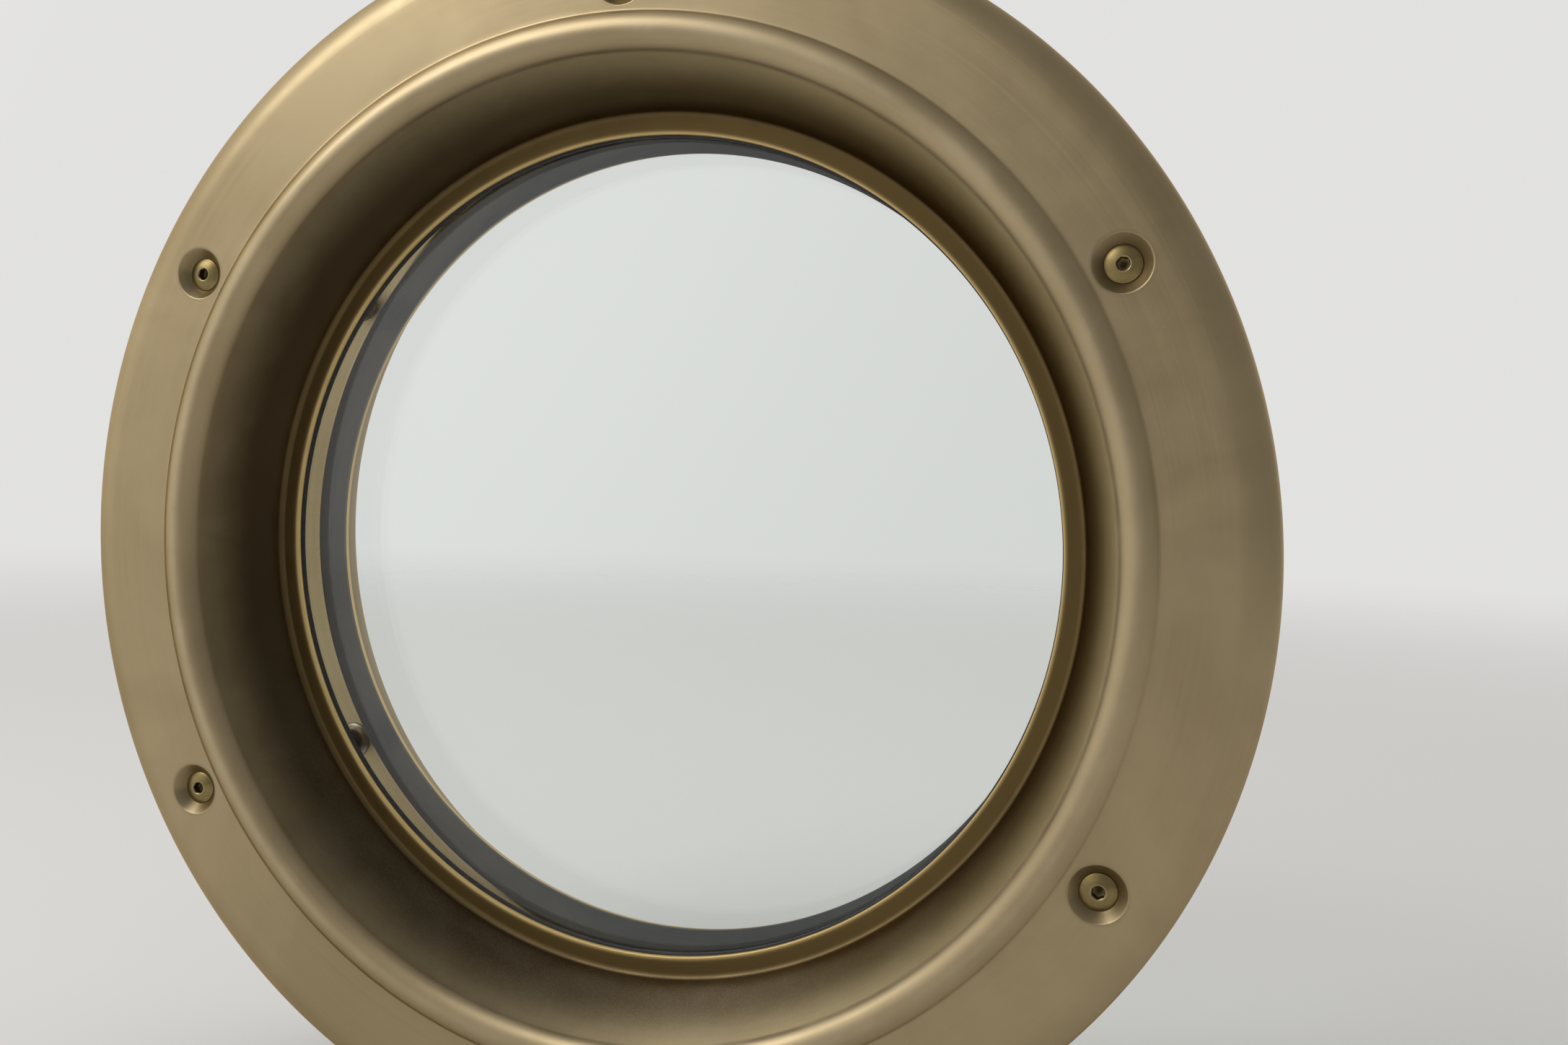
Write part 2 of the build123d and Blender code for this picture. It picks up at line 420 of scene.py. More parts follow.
# Each shader group with its own values in a material
def linesOn(place, pitch, change):
    into = {"Place": place, "Pitch": pitch, "Change": change}
    return add("Group", into, node_tree=turnedLines).outputs["Lines"]


def cloudOn(place, size, sharpness=1.0):
    into = {"Place": place, "Size": size, "Sharpness": sharpness}
    return add("Group", into, node_tree=handling).outputs["Cloud"]


def dustOn(place, amount):
    facing = place.id_data.nodes.new("ShaderNodeNewGeometry").outputs["Normal"]
    into = {"Place": place, "Facing": facing, "Amount": amount}
    return add("Group", into, node_tree=settledDust).outputs["Dust"]


def grainOn(place, size, roundness):
    into = {"Place": place, "Size": size, "Roundness": roundness}
    made = add("Group", into, node_tree=grain)
    return made.outputs["Height"], made.outputs["Shade"]


def bandOn(place, middle, width):
    into = {"Place": place, "Middle": middle, "Width": width}
    return add("Group", into, node_tree=bandMask).outputs["Band"]


# A material with its shader. The plain values are set on the shader's own sockets. place is the point on
# the object or, with own, the same point seen from the axis of a screw or barrel.
def startMaterial(name, plain, own=False):
    material = bpy.data.materials.new(name)
    material.use_nodes = True
    tree = material.node_tree
    shader = tree.nodes["Principled BSDF"]
    for key, value in plain.items():
        shader.inputs[key].default_value = value
    if own:
        source = tree.nodes.new("ShaderNodeAttribute")
        source.attribute_name = "own"
        place = source.outputs["Vector"]
    else:
        place = tree.nodes.new("ShaderNodeTexCoord").outputs["Object"]
    return material, shader, place


# What changes over the surface: its colour, its roughness and a relief with its depth in millimetres
def setSurface(shader, base, rough, height, strength, depth):
    link(base, shader.inputs["Base Color"])
    link(rough, shader.inputs["Roughness"])
    bump = add("Bump", {"Height": height, "Strength": strength, "Distance": depth * mm})
    link(bump.outputs[0], shader.inputs["Normal"])


print("shader groups made")


# Spun steel rings

ring = {
    "sheet": 2.0,
    "footBend": 1.0,
    "footTurn": math.radians(40),
    "shoulderBend": 10.0,
    "grooveInset": 28.5,
    "grooveBend": 1.0,
    "beadBend": 4.5,
    "beadRise": 2.1,
    "seatWidth": 6.0,
    "seatBend": 2.0,
    "edgeRound": 0.2,
    "footSteps": 8,
    "shoulderSteps": 16,
    "grooveSteps": 6,
    "beadSteps": 30,
    "coneSteps": 12,
    "seatSteps": 10,
    "backShare": 0.7,
    "seatRows": 4,
    "columns": 480,
    "bandRows": 14,
    "blockColumns": 12,
    "finePitch": 0.22,
    "broadPitch": 1.7,
    "patches": 55.0,
    "smears": 14.0,
    "crestWidth": 1.6,
    "edgeWidth": 0.8,
    "lipHighlightWidth": 0.7,
    "dustiness": 0.12,
    # tan, shaded and edgeTint are warm: a painted warm light over the steel's own grey
    "tan": (0.40, 0.315, 0.185, 1.0),
    "shaded": (0.33, 0.255, 0.145, 1.0),
    "rubbedSheen": (0.52, 0.43, 0.29, 1.0),
    "reveal": (0.073, 0.050, 0.026, 1.0),
    "revealFade": (138.5, 129.5),
    "seat": (0.13, 0.088, 0.034, 1.0),
    "seatFade": (128.0, 124.0),
    "lip": (0.62, 0.45, 0.20, 1.0),
    "dimpleShade": (0.16, 0.12, 0.055, 1.0),
    "dust": (0.45, 0.42, 0.36, 1.0),
    "edgeTint": (0.80, 0.70, 0.54, 1.0),
    "roughness": 0.36,
}
dimple = {
    "mouth": 7.5,
    "hole": 2.75,
    "lip": 1.0,
    "mouthRound": 0.7,
    "holeRound": 0.12,
    "backRound": 0.6,
    "mouthFlat": 0.6,
    "backFlat": 0.45,
    "flatRows": 6,
}


def spunSteel():
    plain = {"Metallic": 1.0, "Specular Tint": ring["edgeTint"]}
    material, shader, place = startMaterial("spunSteel", plain)
    fine = linesOn(place, ring["finePitch"], 2.0)
    broad = linesOn(place, ring["broadPitch"], 1.2)
    cloud = cloudOn(place, ring["patches"])
    smears = cloudOn(place, ring["smears"], 0.8)
    crest = bandOn(place, beadMiddle[0], ring["crestWidth"])
    edge = bandOn(place, ringReach["out"], ring["edgeWidth"])
    lip = bandOn(place, ringReach["in"], ring["lipHighlightWidth"])
    dust = dustOn(place, ring["dustiness"])
    base = mixColours(spanned(cloud, 0.2, 0.8), ring["shaded"], ring["tan"])
    base = mixColours(spanned(broad, 0.35, 0.65, 0.0, 0.35), base, ring["tan"])
    # the reveal and the seat are painted darker, as the shade that falls in them, each with a slightly uneven
    # border
    split = separated(place)
    radius = total(axisRadius(split), spanned(smears, 0.0, 1.0, -0.6, 0.6))
    for zone in ("reveal", "seat"):
        inward = spanned(radius, *ring[zone + "Fade"], kind="SMOOTHSTEP")
        base = mixColours(inward, base, ring[zone])
    # a painted highlight: a light golden band along the edge of the opening
    base = mixColours(lip, base, ring["lip"])
    # the bead's crest and the outer edge are lighter and smoother: partly rubbing wear, partly a painted
    # highlight
    rubsAndSheen = product(maths("MAXIMUM", crest, edge), spanned(smears, 0.2, 0.9, 0.1, 0.45))
    base = mixColours(rubsAndSheen, base, ring["rubbedSheen"])
    # the dimples are painted darker, as the shade that falls in them; only the room side has dimples
    toScrew = add("Group", {"Place": place}, node_tree=screwDistance).outputs["Distance"]
    hollow = spanned(toScrew, dimple["mouth"] + 1.0, dimple["mouth"] - 2.0, 0.0, 0.75)
    roomSide = maths("LESS_THAN", split[1], 0.0)
    base = mixColours(product(hollow, roomSide), base, ring["dimpleShade"])
    base = mixColours(dust, base, ring["dust"])
    rough = total(varied(fine, -0.05, 0.05), ring["roughness"],
                  spanned(smears, 0.2, 0.8, -0.03, 0.05), product(dust, 0.25))
    rough = maths("SUBTRACT", rough, product(rubsAndSheen, 0.12))
    height = total(product(fine, 0.4), broad)
    setSurface(shader, base, rough, height, 0.35, 0.02)
    return material


# One side of the sheet, from the foot to the seat: inset 0 is the side that shows, inset sheet its back.
# Convex bends lose the inset from their radius and hollow bends gain it.
def ringSide(inset, share):
    def steps(part):
        return max(4, int(ring[part + "Steps"] * share))

    outer, groove = ringReach["out"], ringReach["out"] - ring["grooveInset"]
    footRadius, shoulderRadius = ring["footBend"] + ring["sheet"], ring["shoulderBend"] + ring["sheet"]
    start = ring["edgeRound"] / (footRadius - inset)
    footMiddle = np.array([outer - footRadius, 0])
    foot = arcPath(footMiddle, footRadius - inset, start, ring["footTurn"], steps("foot"))
    shoulderMiddle = footMiddle - (shoulderRadius - footRadius) * heading(ring["footTurn"])
    shoulder = arcPath(shoulderMiddle, shoulderRadius - inset, ring["footTurn"], turn / 4, steps("shoulder"))
    bandHeight = shoulderMiddle[1] + shoulderRadius
    beadRadius = ring["beadBend"] + ring["sheet"]
    drop = beadRadius - ring["beadRise"]
    bead = np.array([groove - math.sqrt(beadRadius**2 - drop**2), bandHeight - drop])
    reachToBend = beadRadius + ring["grooveBend"]
    rise = drop + ring["grooveBend"]
    bend = bead + np.array([math.sqrt(reachToBend**2 - rise**2), rise])
    beadStart = math.atan2(*(bend - bead)[::-1])
    flat = bandHeight - inset
    band = linePath((shoulderMiddle[0], flat), (bend[0], flat), ring["bandRows"] + 1)
    grooveRound = ring["grooveBend"] + inset
    grooveArc = arcPath(bend, grooveRound, -turn / 4, beadStart - turn / 2, ring["grooveSteps"])
    corner = np.array([ringReach["in"] + ring["seatWidth"], ringReach["near"] + ring["sheet"] - leafHalf])
    toBead = bead - corner
    coneTurn = math.atan2(toBead[1], toBead[0]) + math.asin(beadRadius / np.linalg.norm(toBead))
    beadArc = arcPath(bead, beadRadius - inset, beadStart, coneTurn + turn / 4, steps("bead"))
    cone = heading(coneTurn)
    away = np.array([-cone[1], cone[0]])
    tangent = ring["seatBend"] * math.tan(coneTurn / 2)
    seatMiddle = corner + cone * tangent + away * ring["seatBend"]
    seatRound = ring["seatBend"] + inset
    seatArc = arcPath(seatMiddle, seatRound, coneTurn - turn / 4, -turn / 4, steps("seat"))
    coneLine = linePath(beadArc[-1], seatArc[0], steps("cone"))[1:-1]
    seatEnd = (ringReach["in"] + ring["edgeRound"], seatArc[-1][1])
    seat = linePath(seatArc[-1], seatEnd, ring["seatRows"])[1:]
    path = [foot, shoulder[1:], band[1:], grooveArc[1:], beadArc[1:], coneLine, seatArc, seat]
    bandFirst = len(foot) + len(shoulder) - 2
    return np.concatenate(path), bandFirst, bandHeight, bead


# The whole section, closed: the side that shows, the cut edge at the opening, the back and the foot
def ringLoop():
    front, bandFirst, bandHeight, _ = ringSide(0, 1)
    back, backFirst, _, _ = ringSide(ring["sheet"], ring["backShare"])
    seatTop, seatBack = front[-1][1], back[-1][1]
    inner, outer, small = ringReach["in"], ringReach["out"], ring["edgeRound"]
    opening = [cornerPath((inner, seatTop), (-1, 0), (0, -1), small),
               cornerPath((inner, seatBack), (0, -1), (1, 0), small)]
    foot = [cornerPath((outer - ring["sheet"], 0), (0, -1), (1, 0), small),
            cornerPath((outer, 0), (1, 0), (0, 1), small)]
    loop = np.concatenate([front[:-1], *opening, back[:-1][::-1], *foot])[:-1]
    backLast = len(front) - 1 + sum(map(len, opening)) + len(back) - 2
    return loop, bandFirst, backLast - backFirst - ring["bandRows"], bandHeight


beadMiddle = ringSide(0, 1)[3]


# Section of the dimple, round its screw: the mouth in the band, the cone, the hole and the back of the cone
def dimpleSection(bandHeight):
    sheet, mouth, hole = ring["sheet"], dimple["mouth"], dimple["hole"]
    coneEnd = bandHeight - (mouth - hole)
    floor = coneEnd - dimple["lip"]
    backMouth = mouth + sheet * (math.sqrt(2) - 1)  # where the back of the cone meets the back of the band
    backFloor = backMouth - (bandHeight - sheet - floor)
    bandBack = bandHeight - sheet
    corners = [(mouth + dimple["mouthFlat"], bandHeight), (mouth, bandHeight), (hole, coneEnd), (hole, floor),
               (backFloor, floor), (backMouth, bandBack), (backMouth + dimple["backFlat"], bandBack)]
    radii = [dimple["mouthRound"], dimple["holeRound"], dimple["holeRound"], dimple["backRound"],
             dimple["backRound"]]
    return roundedPath(corners, radii, steps=6, guard=0.08)


# A ring is its section carried round the axis. Where a screw sits, a block of the flat band is left out on
# both sides, and a grid goes from the block's border to the mouth of the dimple, through the hole and back
# out to the block's border on the other side: point = border * (1 - t) + circle * t in the flat parts.
def ringGrids(side, withDimples):
    loop, frontFirst, backFirst, bandHeight = ringLoop()
    columns = ring["columns"]
    angle = roundAngles(columns)
    points = aroundAxis(loop[:, :1], leafHalf + loop[:, 1:], angle[None], side)
    whole = {"points": points, "closedRows": True}
    if not withDimples:
        return [whole]
    whole["keep"] = np.ones((len(loop), columns), bool)
    section = dimpleSection(bandHeight)
    radius, height = section[:, :1], leafHalf + section[:, 1:]
    grids = [whole]
    wide, tall = ring["blockColumns"], ring["bandRows"]
    down, across = np.arange(tall), np.arange(wide)
    borderRows = np.concatenate([0 * across, down, 0 * across + tall, tall - down])
    borderColumns = np.concatenate([across, 0 * down + wide, wide - across, 0 * down])
    share = np.linspace(0, 1, dimple["flatRows"])[:-1, None, None]
    for at in boltAngles:
        first = round(at / turn * columns) - wide // 2
        middle = aroundAxis(boltRadius, 0, at, side)
        for start in (frontFirst, backFirst):
            whole["keep"][start + down[:, None], (first + across[None]) % columns] = False
        blockColumns = (first + borderColumns) % columns
        shown = points[frontFirst + borderRows, blockColumns]
        hidden = points[backFirst + tall - borderRows, blockColumns]
        away = shown - middle
        phase = np.arctan2(away[:, 2], away[:, 0])[None]
        cone = aroundAxis(radius, height, phase, side) + middle
        before = shown * (1 - share) + cone[0] * share
        after = cone[-1] * (1 - share) + hidden * share
        grids.append({"points": np.concatenate([before, cone, after[1:], hidden[None]])})
    return grids


steel = spunSteel()
makePiece("innerRing", ringGrids(-1, True), steel, "inner_ring")
makePiece("outerRing", ringGrids(1, False), steel, "outer_ring")
print("rings made")


# Screws, with a hexagon socket and a thread that the barrels share

screw = {
    "headRadius": 5.0,
    "headStep": 2.5,
    "headDome": 1.2,
    "rimRound": 0.25,
    "neckRound": 0.4,
    "socketFlats": 3.0,
    "socketMouth": 1.95,
    "socketDepth": 2.6,
    "drillPoint": 0.45,
    "pitch": 0.8,
    "threadDepth": 0.49,
    "threadLength": 22.0,
    "threadRunout": 1.2,
    "tipChamfer": 0.8,
    "crest": 0.12,
    "flanks": 0.72,
    "leadSlope": 0.7,
    "rimStart": 0.55,
    "domeRows": 9,
    "shankRows": 7,
    "rowsPerPitch": 8,
    "columns": 48,
    "linePitch": 0.12,
    "patches": 4.0,
    "turned": (0.2, 0.75, 0.5, 0.05, 0.9, 0.35),
    # gold and dull are warm: a painted warm light over the steel's own grey
    "gold": (0.27, 0.205, 0.085, 1.0),
    "dull": (0.15, 0.11, 0.05, 1.0),
    "socketDarkening": (0.03, 0.022, 0.014, 1.0),
    "roughness": 0.30,
}
shank = screw["headRadius"] - screw["headStep"]


# The flank of the thread: the share of a turn left over from height / pitch - angle / turn gives a
# ridge with sloping sides and a flat crest. It fades out where the thread runs out of the shank.
def threadRadius(phase, height, top):
    left = np.mod(height / screw["pitch"] - phase / turn, 1)
    valley = np.clip((1 - np.abs(2 * left - 1) - screw["crest"]) / screw["flanks"], 0, 1)
    fade = 1 - smooth(height, top - screw["threadRunout"], top)
    return shank - screw["threadDepth"] * valley * fade


# Rows of (radius, height) for every direction round the screw, from the middle of the socket's floor
# over the head and down the shank to the middle of the tip
def screwRows(socketTurn):
    phase = roundAngles(screw["columns"])
    crown, tip = screwReach["high"], screwReach["low"]
    domeRadius = (screw["headRadius"] ** 2 + screw["headDome"] ** 2) / (2 * screw["headDome"])
    sixth = turn / 6

    def dome(radius):
        return crown - domeRadius + np.sqrt(domeRadius**2 - radius**2)

    hexagon = screw["socketFlats"] / 2 / np.cos(np.mod(phase + sixth / 2, sixth) - sixth / 2)
    floor, mouth, drill = crown - screw["socketDepth"], screw["socketMouth"], screw["drillPoint"]
    lead = dome(mouth) - (mouth - hexagon) * screw["leadSlope"]  # deeper at the flats of the socket
    rows = [(0, floor - drill), (0.7, floor - drill / 2), (1.3, floor), (hexagon - 0.06, floor),
            (hexagon, floor + 0.06), (hexagon, (floor + lead) / 2), (hexagon, lead - 0.05),
            (hexagon + 0.03, lead + 0.02), (hexagon * 0.4 + mouth * 0.6, lead * 0.4 + dome(mouth) * 0.6),
            (mouth, dome(mouth) - 0.01), (mouth + 0.06, dome(mouth + 0.06))]
    rimStart = screw["headRadius"] - screw["rimStart"]
    rows += [(r, dome(r)) for r in np.linspace(mouth + 0.2, rimStart, screw["domeRows"])]
    rim = crown - screw["headDome"]
    neck = rim - screw["headStep"]
    threadTop = tip + screw["threadLength"]
    corners = [(rimStart, dome(rimStart)), (screw["headRadius"], rim), (shank, neck), (shank, threadTop)]
    rows += list(roundedPath(corners, [screw["rimRound"], screw["neckRound"]], steps=7, guard=0.08)[1:-1])
    rows += [(shank, h) for h in np.linspace(neck - 2, threadTop + 0.3, screw["shankRows"])]
    for h in np.append(np.arange(threadTop, tip + 0.05, -screw["pitch"] / screw["rowsPerPitch"]), tip):
        chamfer = shank - screw["tipChamfer"] + (h - tip)
        rows.append((np.minimum(threadRadius(phase, h, threadTop), chamfer), h))
    rows += [((shank - screw["tipChamfer"]) * share, tip) for share in (0.75, 0.35, 0)]
    radius, height = rowArrays(rows, len(phase))
    # the head and its socket stand at their own angle, the thread doesn't
    return radius, height, phase[None] + socketTurn * sixth * smooth(height, neck - 3, neck)


# Rows carried to one place on the bolt circle. own keeps them as seen from their own axis.
def atBolt(angle, radius, height, phase):
    own = aroundAxis(radius, height, phase, -1)
    return {"points": own + aroundAxis(boltRadius, 0, angle, -1), "own": own}


def screwSteel():
    material, shader, own = startMaterial("screwSteel", {"Metallic": 1.0}, own=True)
    lines = linesOn(own, screw["linePitch"], 1.0)
    cloud = cloudOn(own, screw["patches"])
    rim = bandOn(own, screw["headRadius"] - 0.15, 0.25)
    mouth = bandOn(own, screw["socketMouth"], 0.2)
    socket = bandOn(own, 0.0, 1.5)
    # the socket is darker and rougher with the depth below the crown
    low = spanned(separated(own)[1], -screwReach["high"] * mm, -(screwReach["high"] - 1.6) * mm)
    socketDarkening = product(socket, low)
    base = mixColours(spanned(cloud, 0.2, 0.8, 0.0, 0.5), screw["gold"], screw["dull"])
    # the rim and the socket's mouth are lighter: partly rubbing wear, partly a painted highlight
    rubsAndSheen = product(maths("MAXIMUM", rim, mouth), 0.35)
    base = mixColours(rubsAndSheen, base, ring["rubbedSheen"])
    base = mixColours(product(socketDarkening, 0.8), base, screw["socketDarkening"])
    rough = total(varied(lines, -0.05, 0.06), screw["roughness"], product(socketDarkening, 0.35))
    setSurface(shader, base, rough, lines, 0.3, 0.01)
    return material


screwGrids = [atBolt(at, *screwRows(part)) for at, part in zip(boltAngles, screw["turned"])]
makePiece("screws", screwGrids, screwSteel(), "screws")
print("screws made")


# Threaded barrels, welded to the back of the weather side ring

barrel = {
    "radius": 4.5,
    "weldRise": 2.0,
    "mouthChamfer": 0.4,
    "play": 0.05,
    "threadLength": 22.0,
    "boreDepth": 25.0,
    "drillPoint": 0.5,
    "rowsPerPitch": 6,
    "columns": 40,
    "ripple": 0.12,
    "weldCurve": 0.55,
    "weldRows": 9,
    "tubeRows": 9,
    "linePitch": 0.15,
    "patches": 9.0,
    "heat": ((14.0, 9.0, "straw"), (9.0, 6.0, "brown"), (6.0, 3.0, "blue"), (3.0, 1.5, "bare")),
    "bare": (0.46, 0.42, 0.36, 1.0),
    "straw": (0.42, 0.29, 0.12, 1.0),
    "brown": (0.20, 0.10, 0.07, 1.0),
    "blue": (0.10, 0.13, 0.22, 1.0),
    "dull": (0.2, 0.18, 0.15, 1.0),
    "roughness": 0.38,
}


# Rows of the barrel: the flat base, a hollow weld bead with ripples, the tube, the mouth, the thread of the
# bore and its drilled end
def barrelRows(seed):
    phase = roundAngles(barrel["columns"])
    base, mouth = barrelReach["low"], barrelReach["high"]
    toe, tube = (barrelReach["out"] - barrelReach["in"]) / 2, barrel["radius"]
    ripple = barrel["ripple"] * (wander(phase, seed, 9, 0.2) - 1) / 2
    rows = [(0, base), (toe * 0.6, base), (toe - 0.12, base)]
    for share in np.linspace(0, 1, barrel["weldRows"])[1:]:
        bead = toe - (toe - tube) * share ** barrel["weldCurve"]
        swell = math.sin(math.pi * min(share * 1.1, 1))
        rows.append((bead + ripple * swell, base + barrel["weldRise"] * share))
    rows.append((tube, base + barrel["weldRise"] + 0.15))
    rows += [(tube, h) for h in np.linspace(base + 5, mouth - 3, barrel["tubeRows"])]
    edge = barrel["mouthChamfer"]
    bore = shank + barrel["play"]
    corners = [(tube, mouth - 2), (tube, mouth - edge), (tube - edge, mouth), (bore + edge, mouth),
               (bore, mouth - edge)]
    rows += list(roundedPath(corners, [0.15, 0.15, 0.1], steps=4, guard=0.05)[1:-1])
    end = mouth - barrel["threadLength"]
    drill = bore - screw["threadDepth"]
    for h in np.arange(mouth - 0.15, end, -screw["pitch"] / barrel["rowsPerPitch"]):
        thread = threadRadius(phase, h, mouth + 5) + barrel["play"]
        thread = drill + (thread - drill) * smooth(h, end, end + 1)
        rows.append((np.maximum(thread, bore + edge - (mouth - h)), h))
    floor = mouth - barrel["boreDepth"]
    rows += [(drill, end), (drill, floor + 0.1), (drill - 0.1, floor), (1, floor - barrel["drillPoint"] / 2),
             (0, floor - barrel["drillPoint"])]
    radius, height = rowArrays(rows, len(phase))
    return radius, height, phase[None]


# heat says between which distances from the weld, in millimetres, each colour sets in
def barrelSteel():
    material, shader, own = startMaterial("barrelSteel", {"Metallic": 1.0}, own=True)
    lines = linesOn(own, barrel["linePitch"], 1.0)
    cloud = cloudOn(own, barrel["patches"])
    along = total(separated(own)[1], spanned(cloud, 0.0, 1.0, -mm, mm))
    weld = -barrelReach["low"] * mm
    base = barrel["bare"]
    for first, last, colour in barrel["heat"]:
        reached = spanned(along, weld - first * mm, weld - last * mm)
        base = mixColours(reached, base, barrel[colour])
    base = mixColours(spanned(cloud, 0.3, 1.0, 0.0, 0.3), base, barrel["dull"])
    rough = total(varied(lines, -0.06, 0.08), barrel["roughness"])
    setSurface(shader, base, rough, lines, 0.4, 0.015)
    return material


barrelGrids = [atBolt(at, *barrelRows(3 + i)) for i, at in enumerate(boltAngles)]
makePiece("threadedBarrels", barrelGrids, barrelSteel(), "threaded_barrels")


# Rubber parts: sleeves round the barrels, the gaskets under the rings' seats

rubber = {
    "black": (0.022, 0.022, 0.023, 1.0),
    "worn": (0.055, 0.053, 0.05, 1.0),
    "dust": (0.30, 0.28, 0.25, 1.0),
    "patches": 22.0,
    "roughness": 0.62,
}
sleeve = {"bore": 4.52, "edge": 0.5, "ribs": 5, "ribDepth": 0.12, "wallRows": 41, "columns": 56}
gasket = {"edge": 0.15, "shownEdge": 0.4, "columns": 360, "waver": 0.06}
offGlass = 0.03  # rubber and sealant stop this far from the glass, so that light leaves the glass first


def mouldedRubber(name, size, dustiness):
    material, shader, place = startMaterial(name, {"Specular IOR Level": 0.4})
    height, shade = grainOn(place, size, 0.6)
    cloud = cloudOn(place, rubber["patches"])
    dust = dustOn(place, dustiness)
    wear = product(spanned(cloud, 0.3, 0.9), varied(shade, 0.0, 1.0))
    base = mixColours(wear, rubber["black"], rubber["worn"])
    base = mixColours(dust, base, rubber["dust"])
    rough = total(varied(shade, -0.08, 0.1), rubber["roughness"], product(dust, 0.2))
    setSurface(shader, base, rough, height, 0.35, 0.04)
    return material


# A closed section carried round the axis, as (radius, height) rows against the angles. Rows may change
# with the angle, and side tells the room side (-1) from the weather side (1).
def ringPiece(radius, height, angle, side):
    return {"points": aroundAxis(radius, height, angle[None], side), "closedRows": True}


# The sleeve's wall has a few shallow waves along it: radius = outside - depth * (1 - cos(waves)) / 2
def sleeveRows():
    outside = (sleeveReach["out"] - sleeveReach["in"]) / 2
    high, edge = sleeveReach["high"], sleeve["edge"]
    wall = linePath((outside, -high + edge), (outside, high - edge), sleeve["wallRows"])
    share = (wall[:, 1] + high) / (2 * high)
    wall[:, 0] -= sleeve["ribDepth"] * (1 - np.cos(turn * sleeve["ribs"] * share)) / 2
    top = cornerPath((outside, high), (0, 1), (-1, 0), edge, 5)
    inside = [cornerPath((sleeve["bore"], high), (-1, 0), (0, -1), edge / 2, 3),
              cornerPath((sleeve["bore"], -high), (0, -1), (1, 0), edge / 2, 3)]
    bottom = cornerPath((outside, -high), (1, 0), (0, 1), edge, 5)
    loop = np.concatenate([wall[1:], top[1:], *inside, bottom[:-1]])
    return loop[:, :1], loop[:, 1:], roundAngles(sleeve["columns"])[None]


def gasketGrid(side):
    inside, outside = gasketReach["in"], gasketReach["out"]
    low, high = gasketReach["near"] + offGlass, gasketReach["far"]
    corners = [(inside, low), (outside, low), (outside, high), (inside, high)]
    edges = [gasket["edge"], gasket["edge"], gasket["edge"], gasket["shownEdge"]]
    loop = roundedPath(corners, edges, closed=True, steps=5, guard=0.1)
    angle = roundAngles(gasket["columns"])
    pull = gasket["waver"] * bite(angle, 11 + side, 30, 0.6)  # the shown edge is cut a little unevenly
    near = smooth(-loop[:, :1], -inside - 2, -inside)
    return ringPiece(loop[:, :1] + near * pull, loop[:, 1:], angle, side)


sleeveGrids = [{**atBolt(at, *sleeveRows()), "closedRows": True} for at in boltAngles]
sleeveRubber = mouldedRubber("sleeveRubber", 0.5, 0.25)
makePiece("barrelSleeves", sleeveGrids, sleeveRubber, "barrel_sleeves")
gasketRubber = mouldedRubber("gasketRubber", 0.35, 0.0)
makePiece("innerGlazingGasket", [gasketGrid(-1)], gasketRubber, "inner_glazing_gasket")
makePiece("outerGlazingGasket", [gasketGrid(1)], gasketRubber, "outer_glazing_gasket")
print("barrels, sleeves and gaskets made")


# Foam seals between the rings and the leaf

foam = {
    "clear": 0.1,
    "hollow": 0.18,
    "columns": 360,
    "cells": 0.45,
    "grey": (0.075, 0.075, 0.078, 1.0),
    "pale": (0.13, 0.13, 0.13, 1.0),
    "roughness": 0.85,
}


# The top follows the inside of the ring's shoulder: height = middle + root(radius^2 - r^2). The two sides
# are a little hollow, hollow * sin(pi * share of the height), and the foam wavers round the ring.
def sealGrid(side):
    footRadius = ring["footBend"] + ring["sheet"]
    spread = ring["shoulderBend"] - ring["footBend"]
    middle = np.array([ringReach["out"] - footRadius, 0]) - spread * heading(ring["footTurn"])
    radius = np.linspace(sealReach["in"], sealReach["out"], 9)[:, None]
    top = middle[1] + np.sqrt(ring["shoulderBend"] ** 2 - (radius - middle[0]) ** 2) - foam["clear"]
    angle = roundAngles(foam["columns"])
    give = foam["hollow"] * (0.6 + 0.4 * wander(angle, 20 + side, 40, 0.5))[None]
    share = np.linspace(0, 1, 8)[1:-1, None]
    pull = give * np.sin(math.pi * share)
    flat = 0 * angle[None]
    rows = [(radius + flat, leafHalf + 0 * radius + flat),
            (sealReach["out"] - pull, leafHalf + share * top[-1] + flat),
            (radius[::-1] + flat, leafHalf + top[::-1] + flat),
            (sealReach["in"] + pull, leafHalf + share[::-1] * top[0] + flat)]
    return ringPiece(*map(np.concatenate, zip(*rows)), angle, side)


def sealFoam():
    material, shader, place = startMaterial("sealFoam", {"Specular IOR Level": 0.3})
    height, shade = grainOn(place, foam["cells"], 0.85)
    base = mixColours(spanned(height, 0.1, 0.7), foam["grey"], foam["pale"])
    rough = varied(shade, foam["roughness"] - 0.05, foam["roughness"] + 0.08)
    setSurface(shader, base, rough, height, 0.8, 0.15)
    return material


seal = sealFoam()
makePiece("innerLeafSeal", [sealGrid(-1)], seal, "inner_leaf_seal")
makePiece("outerLeafSeal", [sealGrid(1)], seal, "outer_leaf_seal")
print("leaf seals made")


# Glazing unit: two panes, and the spacer with its key and desiccant

